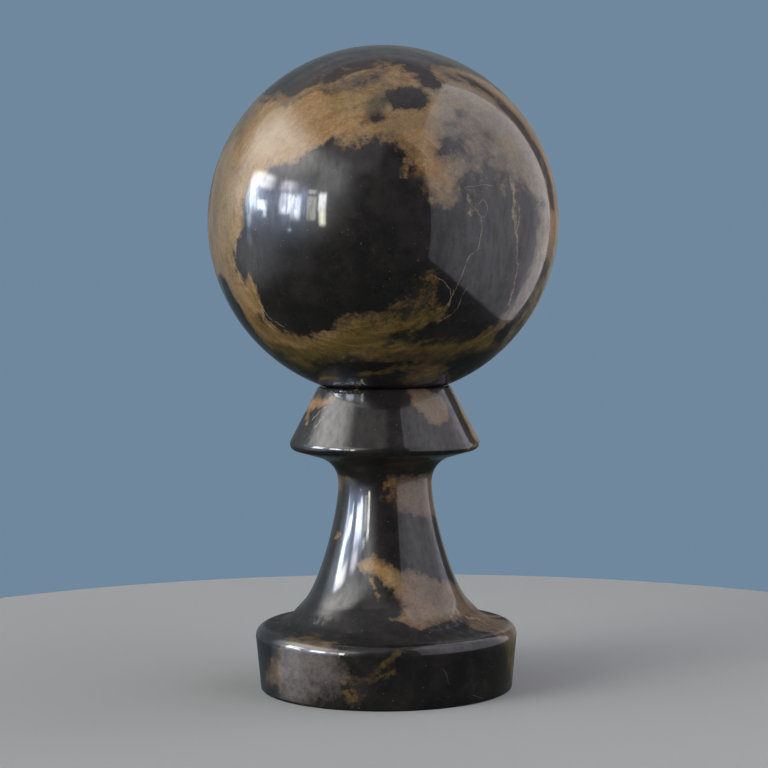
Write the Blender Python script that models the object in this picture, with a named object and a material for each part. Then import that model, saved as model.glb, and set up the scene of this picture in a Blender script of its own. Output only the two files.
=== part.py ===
"""Decorative stone sphere on a turned pedestal.

Two solids of revolution on the +Z axis, in metres. The stand rests on z = 0. The ball rests in a
shallow dish in the stand's top and can be lifted off.
"""

from math import acos, atan2, cos, pi, radians, sin, sqrt, tan

import bpy

MM = 0.001

# Ball and the dish that it rests in
BALL_RADIUS = 75.0 * MM
SEAT_GAP = 0.3 * MM
SEAT_MOUTH_RADIUS = 27.4 * MM
STAND_HEIGHT = 130.6 * MM

# Base: a thick disc, a little narrower at the foot, with a rounded shoulder
FOOT_RADIUS = 54.3 * MM
FOOT_ARRIS = 0.5 * MM
BASE_FLARE = radians(5.2)
SHOULDER_HEIGHT = 27.0 * MM
SHOULDER_FILLET = 4.8 * MM
BASE_TOP_SLOPE = radians(8.0)

# Trumpet stem: from the base's top to the neck
STEM_FOOT_RADIUS = 35.5 * MM
STEM_FOOT_HEIGHT = 37.5 * MM
STEM_FOOT_SLOPE = radians(47.5)
STEM_FOOT_FILLET = 11.0 * MM
STEM_FOOT_PULL = 10.7 * MM
NECK_RADIUS = 20.2 * MM
NECK_HEIGHT = 88.7 * MM
NECK_PULL_DOWN = 12.5 * MM

# Undercut between neck and collar
NECK_PULL_UP = 7.1 * MM
UNDERCUT_RADIUS = 29.3 * MM
UNDERCUT_HEIGHT = 100.3 * MM
UNDERCUT_SLOPE = radians(16.0)
UNDERCUT_PULL = 4.5 * MM

# Collar: a truncated cone with a rounded lower rim and a softened top edge
COLLAR_RIM_RADIUS = 41.66 * MM
COLLAR_RIM_HEIGHT = 105.0 * MM
COLLAR_RIM_FILLET = 2.4 * MM
COLLAR_HALF_ANGLE = radians(27.5)
COLLAR_TOP_FILLET = 1.6 * MM

# Facets
TURN_STEPS = 56
BALL_RINGS = 30

# Materials
STONE_BLACK = (0.014, 0.012, 0.011, 1.0)
STONE_ROUGHNESS = 0.16


def clear_scene():
    for obj in list(bpy.data.objects):
        bpy.data.objects.remove(obj, do_unlink=True)


def polished_stone(name, colour):
    """A polished stone finish: a dielectric Principled BSDF."""
    material = bpy.data.materials.new(name)
    material.use_nodes = True
    shader = material.node_tree.nodes["Principled BSDF"]
    shader.inputs["Base Color"].default_value = colour
    shader.inputs["Roughness"].default_value = STONE_ROUGHNESS
    shader.inputs["Metallic"].default_value = 0.0
    return material


def arc(centre, radius, start, end, steps):
    """Points (r, z) on a circle, from the start angle to the end angle, both included."""
    return [
        (
            centre[0] + radius * cos(start + (end - start) * i / steps),
            centre[1] + radius * sin(start + (end - start) * i / steps),
        )
        for i in range(steps + 1)
    ]


def fillet(before, corner, after, radius, steps):
    """The arc of this radius that rounds the corner between two straight lines."""
    to_before = (before[0] - corner[0], before[1] - corner[1])
    to_after = (after[0] - corner[0], after[1] - corner[1])
    length_before = sqrt(to_before[0] ** 2 + to_before[1] ** 2)
    length_after = sqrt(to_after[0] ** 2 + to_after[1] ** 2)
    u = (to_before[0] / length_before, to_before[1] / length_before)
    v = (to_after[0] / length_after, to_after[1] / length_after)
    half = acos(u[0] * v[0] + u[1] * v[1]) / 2
    middle = (u[0] + v[0], u[1] + v[1])
    middle_length = sqrt(middle[0] ** 2 + middle[1] ** 2)
    reach = radius / sin(half) / middle_length
    centre = (corner[0] + middle[0] * reach, corner[1] + middle[1] * reach)
    touch = radius / tan(half)
    first = (corner[0] + u[0] * touch, corner[1] + u[1] * touch)
    last = (corner[0] + v[0] * touch, corner[1] + v[1] * touch)
    start = atan2(first[1] - centre[1], first[0] - centre[0])
    turn = atan2(last[1] - centre[1], last[0] - centre[0]) - start
    turn = (turn + pi) % (2 * pi) - pi
    return arc(centre, radius, start, start + turn, steps)


def bezier(a, b, c, d, steps):
    """Points of the cubic curve from a to d with handles b and c, both ends included."""
    points = []
    for i in range(steps + 1):
        t = i / steps
        wa = (1 - t) ** 3
        wb = 3 * t * (1 - t) ** 2
        wc = 3 * t * t * (1 - t)
        wd = t**3
        points.append(
            (
                wa * a[0] + wb * b[0] + wc * c[0] + wd * d[0],
                wa * a[1] + wb * b[1] + wc * c[1] + wd * d[1],
            )
        )
    return points


def base_outline():
    """From the axis at the bottom, round the foot arris and up to the shoulder's end."""
    side_at_shoulder = (FOOT_RADIUS + SHOULDER_HEIGHT * tan(BASE_FLARE), SHOULDER_HEIGHT)
    run_in = side_at_shoulder[0] - STEM_FOOT_RADIUS
    top_inner = (STEM_FOOT_RADIUS, SHOULDER_HEIGHT + run_in * tan(BASE_TOP_SLOPE))
    foot_edge = (FOOT_RADIUS, 0.0)
    points = [(0.0, 0.0)]
    points += fillet((0.0, 0.0), foot_edge, side_at_shoulder, FOOT_ARRIS, 2)
    points += fillet(foot_edge, side_at_shoulder, top_inner, SHOULDER_FILLET, 7)
    return points


def stem_outline():
    """From the base's top, through a small fillet, up the trumpet to the neck."""
    side_radius = FOOT_RADIUS + SHOULDER_HEIGHT * tan(BASE_FLARE)
    top_rise = tan(BASE_TOP_SLOPE)
    stem_rise = tan(STEM_FOOT_SLOPE)
    climb = STEM_FOOT_HEIGHT - SHOULDER_HEIGHT
    corner_r = (climb + STEM_FOOT_RADIUS * stem_rise - side_radius * top_rise) / (
        stem_rise - top_rise
    )
    corner = (corner_r, SHOULDER_HEIGHT + (side_radius - corner_r) * top_rise)
    stem_foot = (STEM_FOOT_RADIUS, STEM_FOOT_HEIGHT)
    neck = (NECK_RADIUS, NECK_HEIGHT)
    foot_handle = (
        STEM_FOOT_RADIUS - STEM_FOOT_PULL * cos(STEM_FOOT_SLOPE),
        STEM_FOOT_HEIGHT + STEM_FOOT_PULL * sin(STEM_FOOT_SLOPE),
    )
    neck_handle = (NECK_RADIUS, NECK_HEIGHT - NECK_PULL_DOWN)
    points = fillet((side_radius, SHOULDER_HEIGHT), corner, stem_foot, STEM_FOOT_FILLET, 4)
    points += bezier(stem_foot, foot_handle, neck_handle, neck, 14)
    return points


def collar_outline():
    """From the neck out under the collar, round its rim and up the cone to the seat's mouth."""
    slope = tan(UNDERCUT_SLOPE)
    lean = tan(COLLAR_HALF_ANGLE)
    neck = (NECK_RADIUS, NECK_HEIGHT)
    undercut = (UNDERCUT_RADIUS, UNDERCUT_HEIGHT)
    neck_handle = (NECK_RADIUS, NECK_HEIGHT + NECK_PULL_UP)
    undercut_handle = (
        UNDERCUT_RADIUS - UNDERCUT_PULL * cos(UNDERCUT_SLOPE),
        UNDERCUT_HEIGHT - UNDERCUT_PULL * sin(UNDERCUT_SLOPE),
    )
    cone_foot_radius = COLLAR_RIM_RADIUS + (COLLAR_RIM_HEIGHT - UNDERCUT_HEIGHT) * lean
    corner_z = UNDERCUT_HEIGHT + (cone_foot_radius - UNDERCUT_RADIUS) * slope / (1 + slope * lean)
    corner = (COLLAR_RIM_RADIUS - (corner_z - COLLAR_RIM_HEIGHT) * lean, corner_z)
    top_corner = (
        COLLAR_RIM_RADIUS - (STAND_HEIGHT - COLLAR_RIM_HEIGHT) * lean,
        STAND_HEIGHT,
    )
    points = bezier(neck, neck_handle, undercut_handle, undercut, 9)[1:]
    points += fillet(undercut, corner, top_corner, COLLAR_RIM_FILLET, 6)
    points += fillet(corner, top_corner, (0.0, STAND_HEIGHT), COLLAR_TOP_FILLET, 3)
    return points


def ball_centre_height():
    """The ball's sphere, grown by the gap, passes through the mouth of the dish."""
    seat_radius = BALL_RADIUS + SEAT_GAP
    return STAND_HEIGHT + sqrt(seat_radius**2 - SEAT_MOUTH_RADIUS**2)


def seat_outline():
    """The dish from its mouth down to the axis: part of a sphere a gap larger than the ball."""
    seat_radius = BALL_RADIUS + SEAT_GAP
    mouth_angle = -acos(SEAT_MOUTH_RADIUS / seat_radius)
    points = arc((0.0, ball_centre_height()), seat_radius, mouth_angle, -pi / 2, 6)
    points[-1] = (0.0, points[-1][1])
    return points


def turned(name, outline, material):
    """A solid of revolution: the outline, listed top to bottom on the +X side, on a Screw."""
    mesh = bpy.data.meshes.new(name)
    rising = outline[0][1] < outline[-1][1]
    ordered = outline[::-1] if rising else outline
    edges = [(i, i + 1) for i in range(len(ordered) - 1)]
    mesh.from_pydata([(r, 0.0, z) for r, z in ordered], edges, [])
    obj = bpy.data.objects.new(name, mesh)
    bpy.context.scene.collection.objects.link(obj)
    screw = obj.modifiers.new("Turn", "SCREW")
    screw.axis = "Z"
    screw.angle = 2 * pi
    screw.steps = TURN_STEPS
    screw.render_steps = TURN_STEPS
    screw.use_merge_vertices = True
    screw.merge_threshold = 0.00001
    screw.use_smooth_shade = True
    mesh.materials.append(material)
    return obj


def make_ball(material):
    """A sphere, its outline a half circle from the top pole to the bottom pole."""
    half_circle = arc((0.0, ball_centre_height()), BALL_RADIUS, pi / 2, -pi / 2, BALL_RINGS)
    half_circle[0] = (0.0, half_circle[0][1])
    half_circle[-1] = (0.0, half_circle[-1][1])
    return turned("ball", half_circle, material)


def make_stand(material):
    """The pedestal, its outline from the middle of the underside up to the middle of the dish."""
    outline = base_outline() + stem_outline() + collar_outline() + seat_outline()
    return turned("stand", outline, material)


def main():
    clear_scene()
    make_ball(polished_stone("ball_stone", STONE_BLACK))
    make_stand(polished_stone("stand_stone", STONE_BLACK))


main()
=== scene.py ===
"""Polished stone ball resting in the dish of a turned stone stand.

Lengths in the settings are in metres. Places on the stone are in degrees round the piece and, on
the stand, millimetres along its outline.
"""

from math import acos, cos, pi, radians, sin, tan

import bpy
import numpy as np
from bpy.props import FloatProperty, FloatVectorProperty, IntProperty, PointerProperty
from bpy.types import Operator, Panel, PropertyGroup
from mathutils import Matrix, Vector


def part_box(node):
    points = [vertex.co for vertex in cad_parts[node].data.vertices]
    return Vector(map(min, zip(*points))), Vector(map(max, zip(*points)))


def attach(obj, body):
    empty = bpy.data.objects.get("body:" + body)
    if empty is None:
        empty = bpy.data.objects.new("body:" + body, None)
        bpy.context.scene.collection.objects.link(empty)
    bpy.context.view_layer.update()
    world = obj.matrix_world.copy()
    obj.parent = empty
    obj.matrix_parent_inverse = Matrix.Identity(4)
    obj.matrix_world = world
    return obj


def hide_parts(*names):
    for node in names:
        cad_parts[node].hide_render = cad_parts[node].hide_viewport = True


bl_info = {
    "name": "Stone Sphere on Stand",
    "version": (1, 0, 0),
    "blender": (4, 5, 0),
    "location": "3D View > Sidebar > Stone Sphere",
    "description": "Builds a polished stone ball, its turned stand and a plain studio stage",
    "category": "Add Mesh",
}

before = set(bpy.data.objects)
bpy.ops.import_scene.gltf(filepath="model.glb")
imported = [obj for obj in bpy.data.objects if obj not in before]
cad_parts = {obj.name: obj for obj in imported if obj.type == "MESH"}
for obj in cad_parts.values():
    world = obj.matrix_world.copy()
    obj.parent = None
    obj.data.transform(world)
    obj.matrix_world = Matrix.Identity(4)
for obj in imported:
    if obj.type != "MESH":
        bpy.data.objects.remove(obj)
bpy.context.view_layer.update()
BALL_LOW, BALL_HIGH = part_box("ball")
STAND_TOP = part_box("stand")[1].z

MM = 0.001

# The polish: a sharp gloss over a soft sheen, and the depth of its pits
GLOSS_IOR = 1.5
GLOSS_ROUGHNESS = 0.05
SHEEN_IOR = 1.24
PIT_DEPTH = 0.002 * MM
PIT_STRENGTH = 0.25

# Each point attribute of the stone, and the input of the node groups that it feeds
FIELDS = {
    "cloud": "Distance", "softness": "Softness", "streaks": "Streaks", "flow": "Flow",
    "veil": "Veil", "specks": "Specks", "smoke": "Smoke Amount", "ash": "Ash Amount",
    "rust": "Rust Amount", "olive_and_shade": "Moss Amount", "worn": "Worn", "vein": "Vein Distance",
    "near_vein": "Nearness",
}
TINTS = ("veil", "specks", "smoke", "ash", "rust", "olive_and_shade", "ragged")

FARTHEST = 9.0  # mm from a cloud's edge past which its distance isn't told
EDGE = 0.8  # softness in mm where no patch lies
VEIN_REACH = 1.6  # mm over which a vein counts as near
RAGGED_EDGE = 2.2  # softness in mm that a full "ragged" tint gives
# Degrees from the front over which the painted places give way to noise
BALL_BEHIND = (80, 98)
STAND_BEHIND = (82, 104)
ALL_ROUND = 350  # degrees: a worn place wider than this goes all the way round
WORN_DULL = 0.1 * MM  # wear at which the polish is gone

# Kinds of the node groups' sockets that aren't plain numbers
KINDS = {"Position": "Vector", "Flow": "Vector", **dict.fromkeys((
    "Color", "Black", "Haze", "Speck", "Ochre", "Tan", "Rust", "Smoke", "Ash", "Olive_And_Shade"), "Color")}

# --- Where the clouds lie ---
# On the ball, places are degrees round from the front, positive to the right, and degrees up from
# the equator. On the stand they are degrees round and mm along the outline from the foot.
# Patches: "add" clouds or "cut" back to black, edge softness in mm, corners x, y, x, y and so on.
# Tints, by field: amount, blur in mm, corners. The field reaches the amount inside the corners
# and fades to nothing over the blur. Veil lets the black show through the clouds.
# Rust: centre x, y, half width, half height, tilt and amount of a soft blot of rust.
# Veins: width in mm, and the points of an open line.
# Worn places: from and to round, from and to along, depth in mm.

BALL_PATCHES = (
    ("add", 0.8, -97, -20, -97, 47, -78, 46, -66, 43, -58, 41.5, -54, 42, -50, 42.5, -47, 41.5, -44, 40,
     -41, 38.5, -38.5, 40, -38, 42, -35, 43, -32, 44.5, -28, 45, -24, 43, -22, 42.5, -19, 45, -17, 46.5,
     -12, 47.5, -6, 49, -3, 50, -1, 54, 3, 56.5, 8, 57.5, 12, 57, 16, 56, 20, 56, 30, 57, 40, 58, 50, 57,
     60, 54, 70, 48, 82, 43, 97, 37, 97, -20, 72, -22, 68, -12, 66.5, -2, 66, 4, 62, 6, 57, 6, 50, 8, 43, 6,
     38, 6, 33, 7, 28, 6, 24, 5, 21, 4, 17, 4.5, 14.5, 6, 13, 9, 11, 13, 8.5, 16, 7.5, 19, 6, 21.5, 4, 23,
     2, 25, 0, 24.5, -2, 26, -5, 25, -8, 24.5, -10, 23.5, -12.5, 22, -14, 24, -18, 24.5, -20, 23, -23, 22,
     -27, 19.5, -28, 18, -31, 17.5, -34, 18, -36, 16.5, -39, 17, -41, 13, -46, 12, -49, 5, -50, -5, -54, -7,
     -57, -12, -56, -16, -53, -20, -51, -18, -49, -17, -48, -22, -48, -27, -50, -30, -56, -34, -62, -34,
     -65, -26, -68, -19, -74, -17),
    ("add", 1.1, -63, -26, -60, -29, -54, -31.5, -50, -32, -46, -36, -41, -38, -34, -38.8, -29, -38.3,
     -24, -37, -21, -36, -19, -34, -16, -31.5, -12, -30, -6, -29.5, 0, -29, 3, -26.5, 6, -24.5, 8, -21.5,
     9.5, -18.5, 12, -17, 15, -16, 17, -17.5, 17.5, -22, 19, -26, 23, -29, 24, -32, 18, -34, 10, -37,
     2, -39.5, 0, -44, -60, -44, -66, -38, -66, -32),
    ("add", 1.6, -66, -40, -40, -42, 0, -42, 6, -38, 16, -38, 28, -40, 38, -39.5, 43, -37, 48, -35.5,
     50.5, -33, 52, -30, 53.5, -33, 52, -38, 55, -42, 62, -44, 64, -46, 56, -46.5, 46, -47, 36, -50,
     30, -52, 14, -50, 8, -50, 0, -50.5, -10, -50, -22, -50.5, -34, -53, -46, -58, -62, -57, -68, -48),
    ("add", 1.6, -14, -57.5, -8, -56, 0, -54, 8, -52, 16, -50.5, 24, -50, 32, -51, 38, -54, 38, -60,
     34, -64, 14, -64, 11, -59, 14, -54.5, 8, -54.5, 0, -56.5, -8, -58.5),
    ("add", 1, 57, 4, 66, 4, 67, -12, 64, -25, 60, -31, 55, -37, 50, -39, 49, -34, 52, -28, 55, -18,
     57, -8),
    ("add", 2, 62, -30, 66, -20, 72, -14, 78, -10, 97, -14, 97, -50, 84, -52, 70, -50, 63, -46),
    ("add", 3, -97, 42, -64, 41, -50, 41, -41, 37, -30, 43, -20, 43, -10, 47, 0, 53, 4, 60, -10, 60,
     -26, 56, -40, 50, -52, 46, -64, 48, -97, 51),
    ("cut", 0.9, 1.5, 41, 2, 43.5, 6, 45, 12, 46, 17, 45.5, 19, 42, 17.5, 39, 14, 36.5, 9, 36, 5, 36.5,
     2.5, 39),
    ("cut", 1, 11, 56, 14, 53, 18, 52, 17.5, 49, 18, 46, 23, 44, 27, 46, 28, 49, 26, 53, 30, 57, 20, 60),
    ("cut", 0.6, -5.8, 31, -4.5, 33.5, -1.5, 34, -0.8, 32.5, -3, 31),
    ("cut", 1, 18.2, 19.4, 18, 21, 19, 22.5, 19.5, 25.5, 23, 26.5, 27, 25, 27, 21.5, 23, 20.5, 20.5, 19.2),
    ("add", 0.6, 6, 13, 8, 13, 9.5, 17, 8, 19, 6, 15),
    ("add", 0.6, 27, 1, 29, 1, 29, 4, 27.5, 7, 26.5, 4),
    ("add", 0.8, 42.5, -1, 47, -1, 47, 4, 47.5, 9, 46, 11, 45, 13, 44, 9, 43, 5),
)
BALL_TINTS = {
    "veil": (
        (0.42, 6, 20, 32, 34, 34, 42, 29, 45, 18, 44, 10, 40, 14, 24, 14, 24, 20),
        (0.97, 4, 24, 14, 34, 17, 46, 15, 54, 10, 58, 2, 60, -2, 24, -2, 23, 9),
        (0.62, 1.5, 27.5, 33, 28, 36.5, 32, 36.5, 32, 33),
        (0.7, 3, 26, 26, 31, 28, 36, 24, 34, 19, 24, 19),
        (0.97, 1.5, 55, 40, 59.3, 32, 63.8, 22, 67.2, 12, 69, 3, 73, 3, 73.5, 11, 71.5, 22, 66.5, 32,
         61, 40),
        (0.8, 3, 33, 50, 44, 47.5, 52, 43.5, 57, 39, 62, 40, 56, 49, 46, 54, 34, 56),
        (0.12, 5, 54, 34, 62, 24, 67, 8, 66, -4, 54, 0),
        (0.38, 5, 56, 0, 66, 0, 66, -30, 48, -36),
        (0.45, 3, -14, -31, 4, -27, 8, -18, 16, -15, 18, -26, 10, -32, -10, -33),
        (0.18, 4, -26, 48, -22, 45, -12, 44, -5, 46, 2, 47, 4, 51, -6, 54, -20, 51),
        (0.93, 1.5, -97, 46, -66, 44.5, -58, 43.5, -50, 44, -44, 42, -40, 42.5, -37, 45.5, -31, 47.5,
         -25, 47.5, -21, 50, -14, 53, -6, 55, -1, 58, 2, 64, -30, 60, -97, 60),
        (0.3, 3, -7, 31, -7, 40, -3, 43, 3, 42, 2, 36, 1, 32),
        (0.55, 3, 9, 8, 10, 16, 12, 16, 15, 8),
        (0.8, 2.5, 3, -38, 12, -37.5, 20, -35, 27, -31, 34, -33, 42, -36, 46, -37.5, 40, -41, 28, -43,
         16, -43, 6, -41),
        (0.75, 4, -72, -40, -58, -45, -36, -49, -30, -56, -60, -62, -72, -60),
        (0.42, 3, -62, -46, -30, -46, 0, -45, 12, -44.5, 34, -43, 60, -41, 60, -52, 12, -51, -30, -54,
         -60, -58),
        (0.35, 4, 10, -51, 36, -50, 40, -64, 10, -64),
        (0.55, 3, 62, -24, 72, -10, 97, -14, 97, -54, 64, -54),
        (0.1, 7, -97, 40, -62, 38, -60, 20, -66, 0, -66, -30, -97, -30),
    ),
    "ash": (
        (0.45, 6, -80, 26, -62, 24, -55, 10, -54, -6, -60, -24, -80, -26),
        (0.9, 6, 19, 29, 22, 48, 34, 50, 50, 45, 62, 33, 68, 10, 67, -34, 52, -38, 52, 2, 24, 2, 22, 18),
        (0.45, 4, 12, 12, 28, 14, 28, 0, 12, 0),
        (0.25, 5, -24, 46, -12, 43, 6, 46, 6, 50, -4, 54, -20, 51),
        (0.45, 6, -97, 50, -64, 44, -62, 24, -97, 18),
        (0.6, 3, 62, -22, 72, -10, 97, -14, 97, -54, 64, -54),
    ),
    # Olive tints: olive stone, and across the lower band painted shade, since their colour is darkened for
    # the light missing from below
    "olive_and_shade": (
        (0.3, 1.5, -51.5, -16, -48, -16, -46.5, -22, -48, -30, -52, -31, -51.5, -22),
        (0.45, 5, -22, 35, -24, 44, -4, 50, 2, 46, -4, 40, -8, 35),
        (0.5, 4, -66, -30, -54, -32, -46, -35, -30, -36, -30, -44, -66, -44),
        (1, 5, -62, -40, -40, -42, -20, -38, -14, -31, 2, -28, 8, -15, 28, -16, 54, -38, 62, -44, 58, -64,
         -66, -64),
    ),
    "specks": (
        (0.8, 3, 4, -24, 10, -15, 26, -16, 30, -28, 22, -32, 12, -30),
        (0.4, 3, -20, -40, -16, -29, 4, -27, 12, -30, 10, -36),
        (0.25, 4, -30, 40, -30, 50, 4, 60, 14, 60, 12, 46, 0, 44),
    ),
    "smoke": (
        (0.35, 6, 22, 40, 34, 42, 52, 38, 62, 26, 66, 8, 64, -34, 48, -36, 54, 4, 26, 4, 22, 20),
        (0.35, 5, -30, 48, -20, 45, -8, 45, 4, 46, 6, 50, -4, 54, -20, 52),
        (0.95, 2.5, -7, 33, -6.5, 39, -3, 42, 2, 41, 2, 37, 0, 34),
        (0.45, 5, -4, 26, 2, 35, 18, 36, 20, 28, 10, 26),
        (0.6, 5, -97, 48, -62, 43, -62, 30, -72, 24, -97, 22),
        (0.2, 7, -97, 24, -70, 22, -70, -20, -97, -24),
        (0.45, 4, 30, 58, 32, 50, 50, 46, 62, 34, 70, 10, 76, 8, 70, 34, 56, 52),
    ),
    "ragged": (
        (1.2, 4, -19, 19, -19, 27, 12, 28, 13, 12, 4, 14, 0, 20),
        (1.2, 3, 10, 10, 30, 12, 30, -2, 10, -2),
        (0.7, 4, -24, 40, -24, 52, 6, 60, 34, 60, 34, 50, 4, 46, -4, 42),
    ),
    "rust": (
        (0.8, 3, -53, -16, -48, -16, -46, -28, -52, -28),
        (0.8, 4, -40, 39, -36, 45, -24, 47, -18, 42, -28, 36),
        (0.7, 3, 66, 40, 70, 28, 74, 10, 74, -8, 97, -12, 97, 40),
    ),
}
BALL_RUST = (
    (16, 20, 5, 10, 0, 0.4), (7, 15, 4, 4, 0, 0.9), (5, 52, 10, 6, 0, 0.3), (-22, 32, 14, 9, 0, 0.35),
    (28, 3, 4, 4, 0, 0.9), (5, -31, 9, 4, 20, 0.4), (-20, -40, 16, 3, 0, 0.2), (22, -57, 12, 5, 0, 0.8),
    (0, -55, 10, 3, 0, 0.7),
)
BALL_VEINS = (
    (0.2, 29, 4, 31, 0, 31.5, -3, 30.7, -6, 30.5, -9, 28, -11, 26.8, -14, 26, -18),
    (0.8, 27.5, 1.5, 27.9, 3.5, 27.4, 6.5),
    (0.75, 44.3, 1, 45.2, 5, 45.6, 9, 44.9, 13),
    (0.4, 47.5, 4, 47.2, 0, 46.4, -4, 45.8, -6),
    (0.45, 45, 2, 45.5, -3, 46.5, -7, 47.4, -11, 48.6, -14, 49.5, -20, 50, -27),
    (0.15, 17, -17.5, 20, -19, 23, -22, 24, -26, 23, -29),
    (0.16, 25.5, -20, 24.5, -23, 24, -25.5, 22, -28, 19, -29),
    (0.16, 28.5, -21.5, 27.4, -24, 27.2, -28, 25, -31, 21, -33),
    (0.2, 51.5, -28, 51, -33, 50.5, -37, 46, -40, 41, -44),
    (0.12, 31, 0, 33.5, 1, 34.2, 4, 32.5, 5.5, 31, 4),
    (0.13, 27, 9.5, 30, 10.2, 33, 10.8, 36, 10.2),
    (0.34, -50, -22, -49, -27, -47, -32, -43, -35),
    (0.85, -51.4, -2.6, -53.4, -5, -54.6, -8.4, -55.6, -11, -57.6, -13.8, -56, -15.4, -56, -17.8,
     -55, -19.4),
    (0.5, -49.6, -16.8, -48.8, -20.4, -49, -24, -48.4, -27.4, -50.2, -30.6, -51.4, -33, -49, -36),
    (0.2, -70, 30, -68, 18, -66, 6, -64, -8, -65, -20),
    (0.16, -76, 24, -73, 8, -72, -6, -74, -16),
)
STAND_PATCHES = (
    ("add", 2.3, -49, 31, -52, 22, -57, 18.5, -60, 16, -64, 13.5, -69, 9, -66, 6, -57, 6, -54, 4, -47, 2.5,
     -30, 2.5, -29, 5, -20, 5, -15, 3.5, -11, 6, -9.5, 9, -10, 12, -14, 14, -16, 17, -19, 21, -24, 31),
    ("add", 2.2, -47, 28, -45, 36, -41, 37.5, -36, 34, -30, 30, -28, 27),
    ("add", 1.1, -14, 11, -9, 15, -6, 18, -2, 21, 1.5, 23.5, 5, 26, 6, 25.5, 2, 22, -2, 18.5, -5, 15,
     -9, 11),
    ("add", 0.9, -9, 12, -5, 14.5, -1, 16.5, 3, 18, 3.5, 17, 1, 15.5, -3, 14, -8, 11),
    ("add", 0.8, -28, 72, -23, 74, -16, 75.5, -9, 75.5, -1.5, 73.5, 6, 71, 13, 69, 28, 68, 37, 65.5, 46, 64,
     63, 62.5, 71, 60, 98, 58, 98, 42, 56, 44, 46, 43.5, 29, 43.5, 23, 42.5, 17, 43, 9, 45.5, 3, 47.5,
     9, 50, 12, 53, 9.5, 56, 6, 60, 0.5, 62.5, -6, 65, -12, 66.5, -20, 67.5, -25, 69),
    ("add", 0.6, -14, 65.5, -11, 64.8, -8.5, 61.5, -9.5, 61.5, -12, 63.4),
    ("add", 0.6, -8, 59, -6.5, 59, -5, 56, -6.2, 56.4),
    ("add", 1.4, 54, 41, 57, 30, 57, 26, 62, 21, 66, 17, 70, 11, 74, 7, 78, 3, 98, 1, 98, 48, 77, 48,
     60, 48),
    ("add", 0.7, -66, 81, -62, 84, -58, 84.5, -54, 83.5, -57, 81, -60, 80),
    ("add", 1.4, -98, 109, -80, 108, -62, 109, -53, 108.5, -55, 107.5, -62, 105, -66, 102, -72, 99,
     -98, 97),
    ("add", 1, 9, 95.5, 17, 94.5, 28, 93.3, 34, 91.5, 50, 90.5, 66, 89.5, 98, 88, 98, 109, 4, 109, 2, 106,
     7, 103, 8, 99),
    ("add", 0.7, -6, 99.2, 0, 99.7, 3, 98.5, 7, 97, 9, 99, 8, 102, 4, 101.8, 0, 101.2, -6, 100.8),
    ("add", 0.7, -3, 103, 3, 104, 8, 105, 6, 107.5, -1, 107, -4, 105),
    ("add", 0.8, -98, 158, -80, 157, -68, 158.5, -60, 157.5, -52, 157, -44, 158, -41, 157, -46, 155,
     -52, 153.5, -57, 152.5, -62, 153, -66, 151, -70, 149.5, -66, 146.5, -64, 144.5, -66, 144, -70, 146,
     -76, 149, -98, 150),
    ("add", 0.5, -27, 163, -26, 161.2, -20, 161.4, -19, 163),
    ("add", 0.5, -46, 163, -44, 161, -38, 161.8, -36, 163),
    ("add", 0.6, 17.5, 163, 18.5, 160, 20, 155, 25, 152, 29.5, 148, 34, 145, 41, 144, 47, 145, 51.5, 148,
     56, 152, 56.5, 155, 52, 157, 48, 158, 44, 159.5, 38, 163),
    ("add", 0.8, 58, 132.4, 64, 133.6, 74, 135.5, 74, 132.4),
    ("add", 0.9, 70, 134, 98, 134, 98, 162, 80, 162, 72, 150),
)
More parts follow.
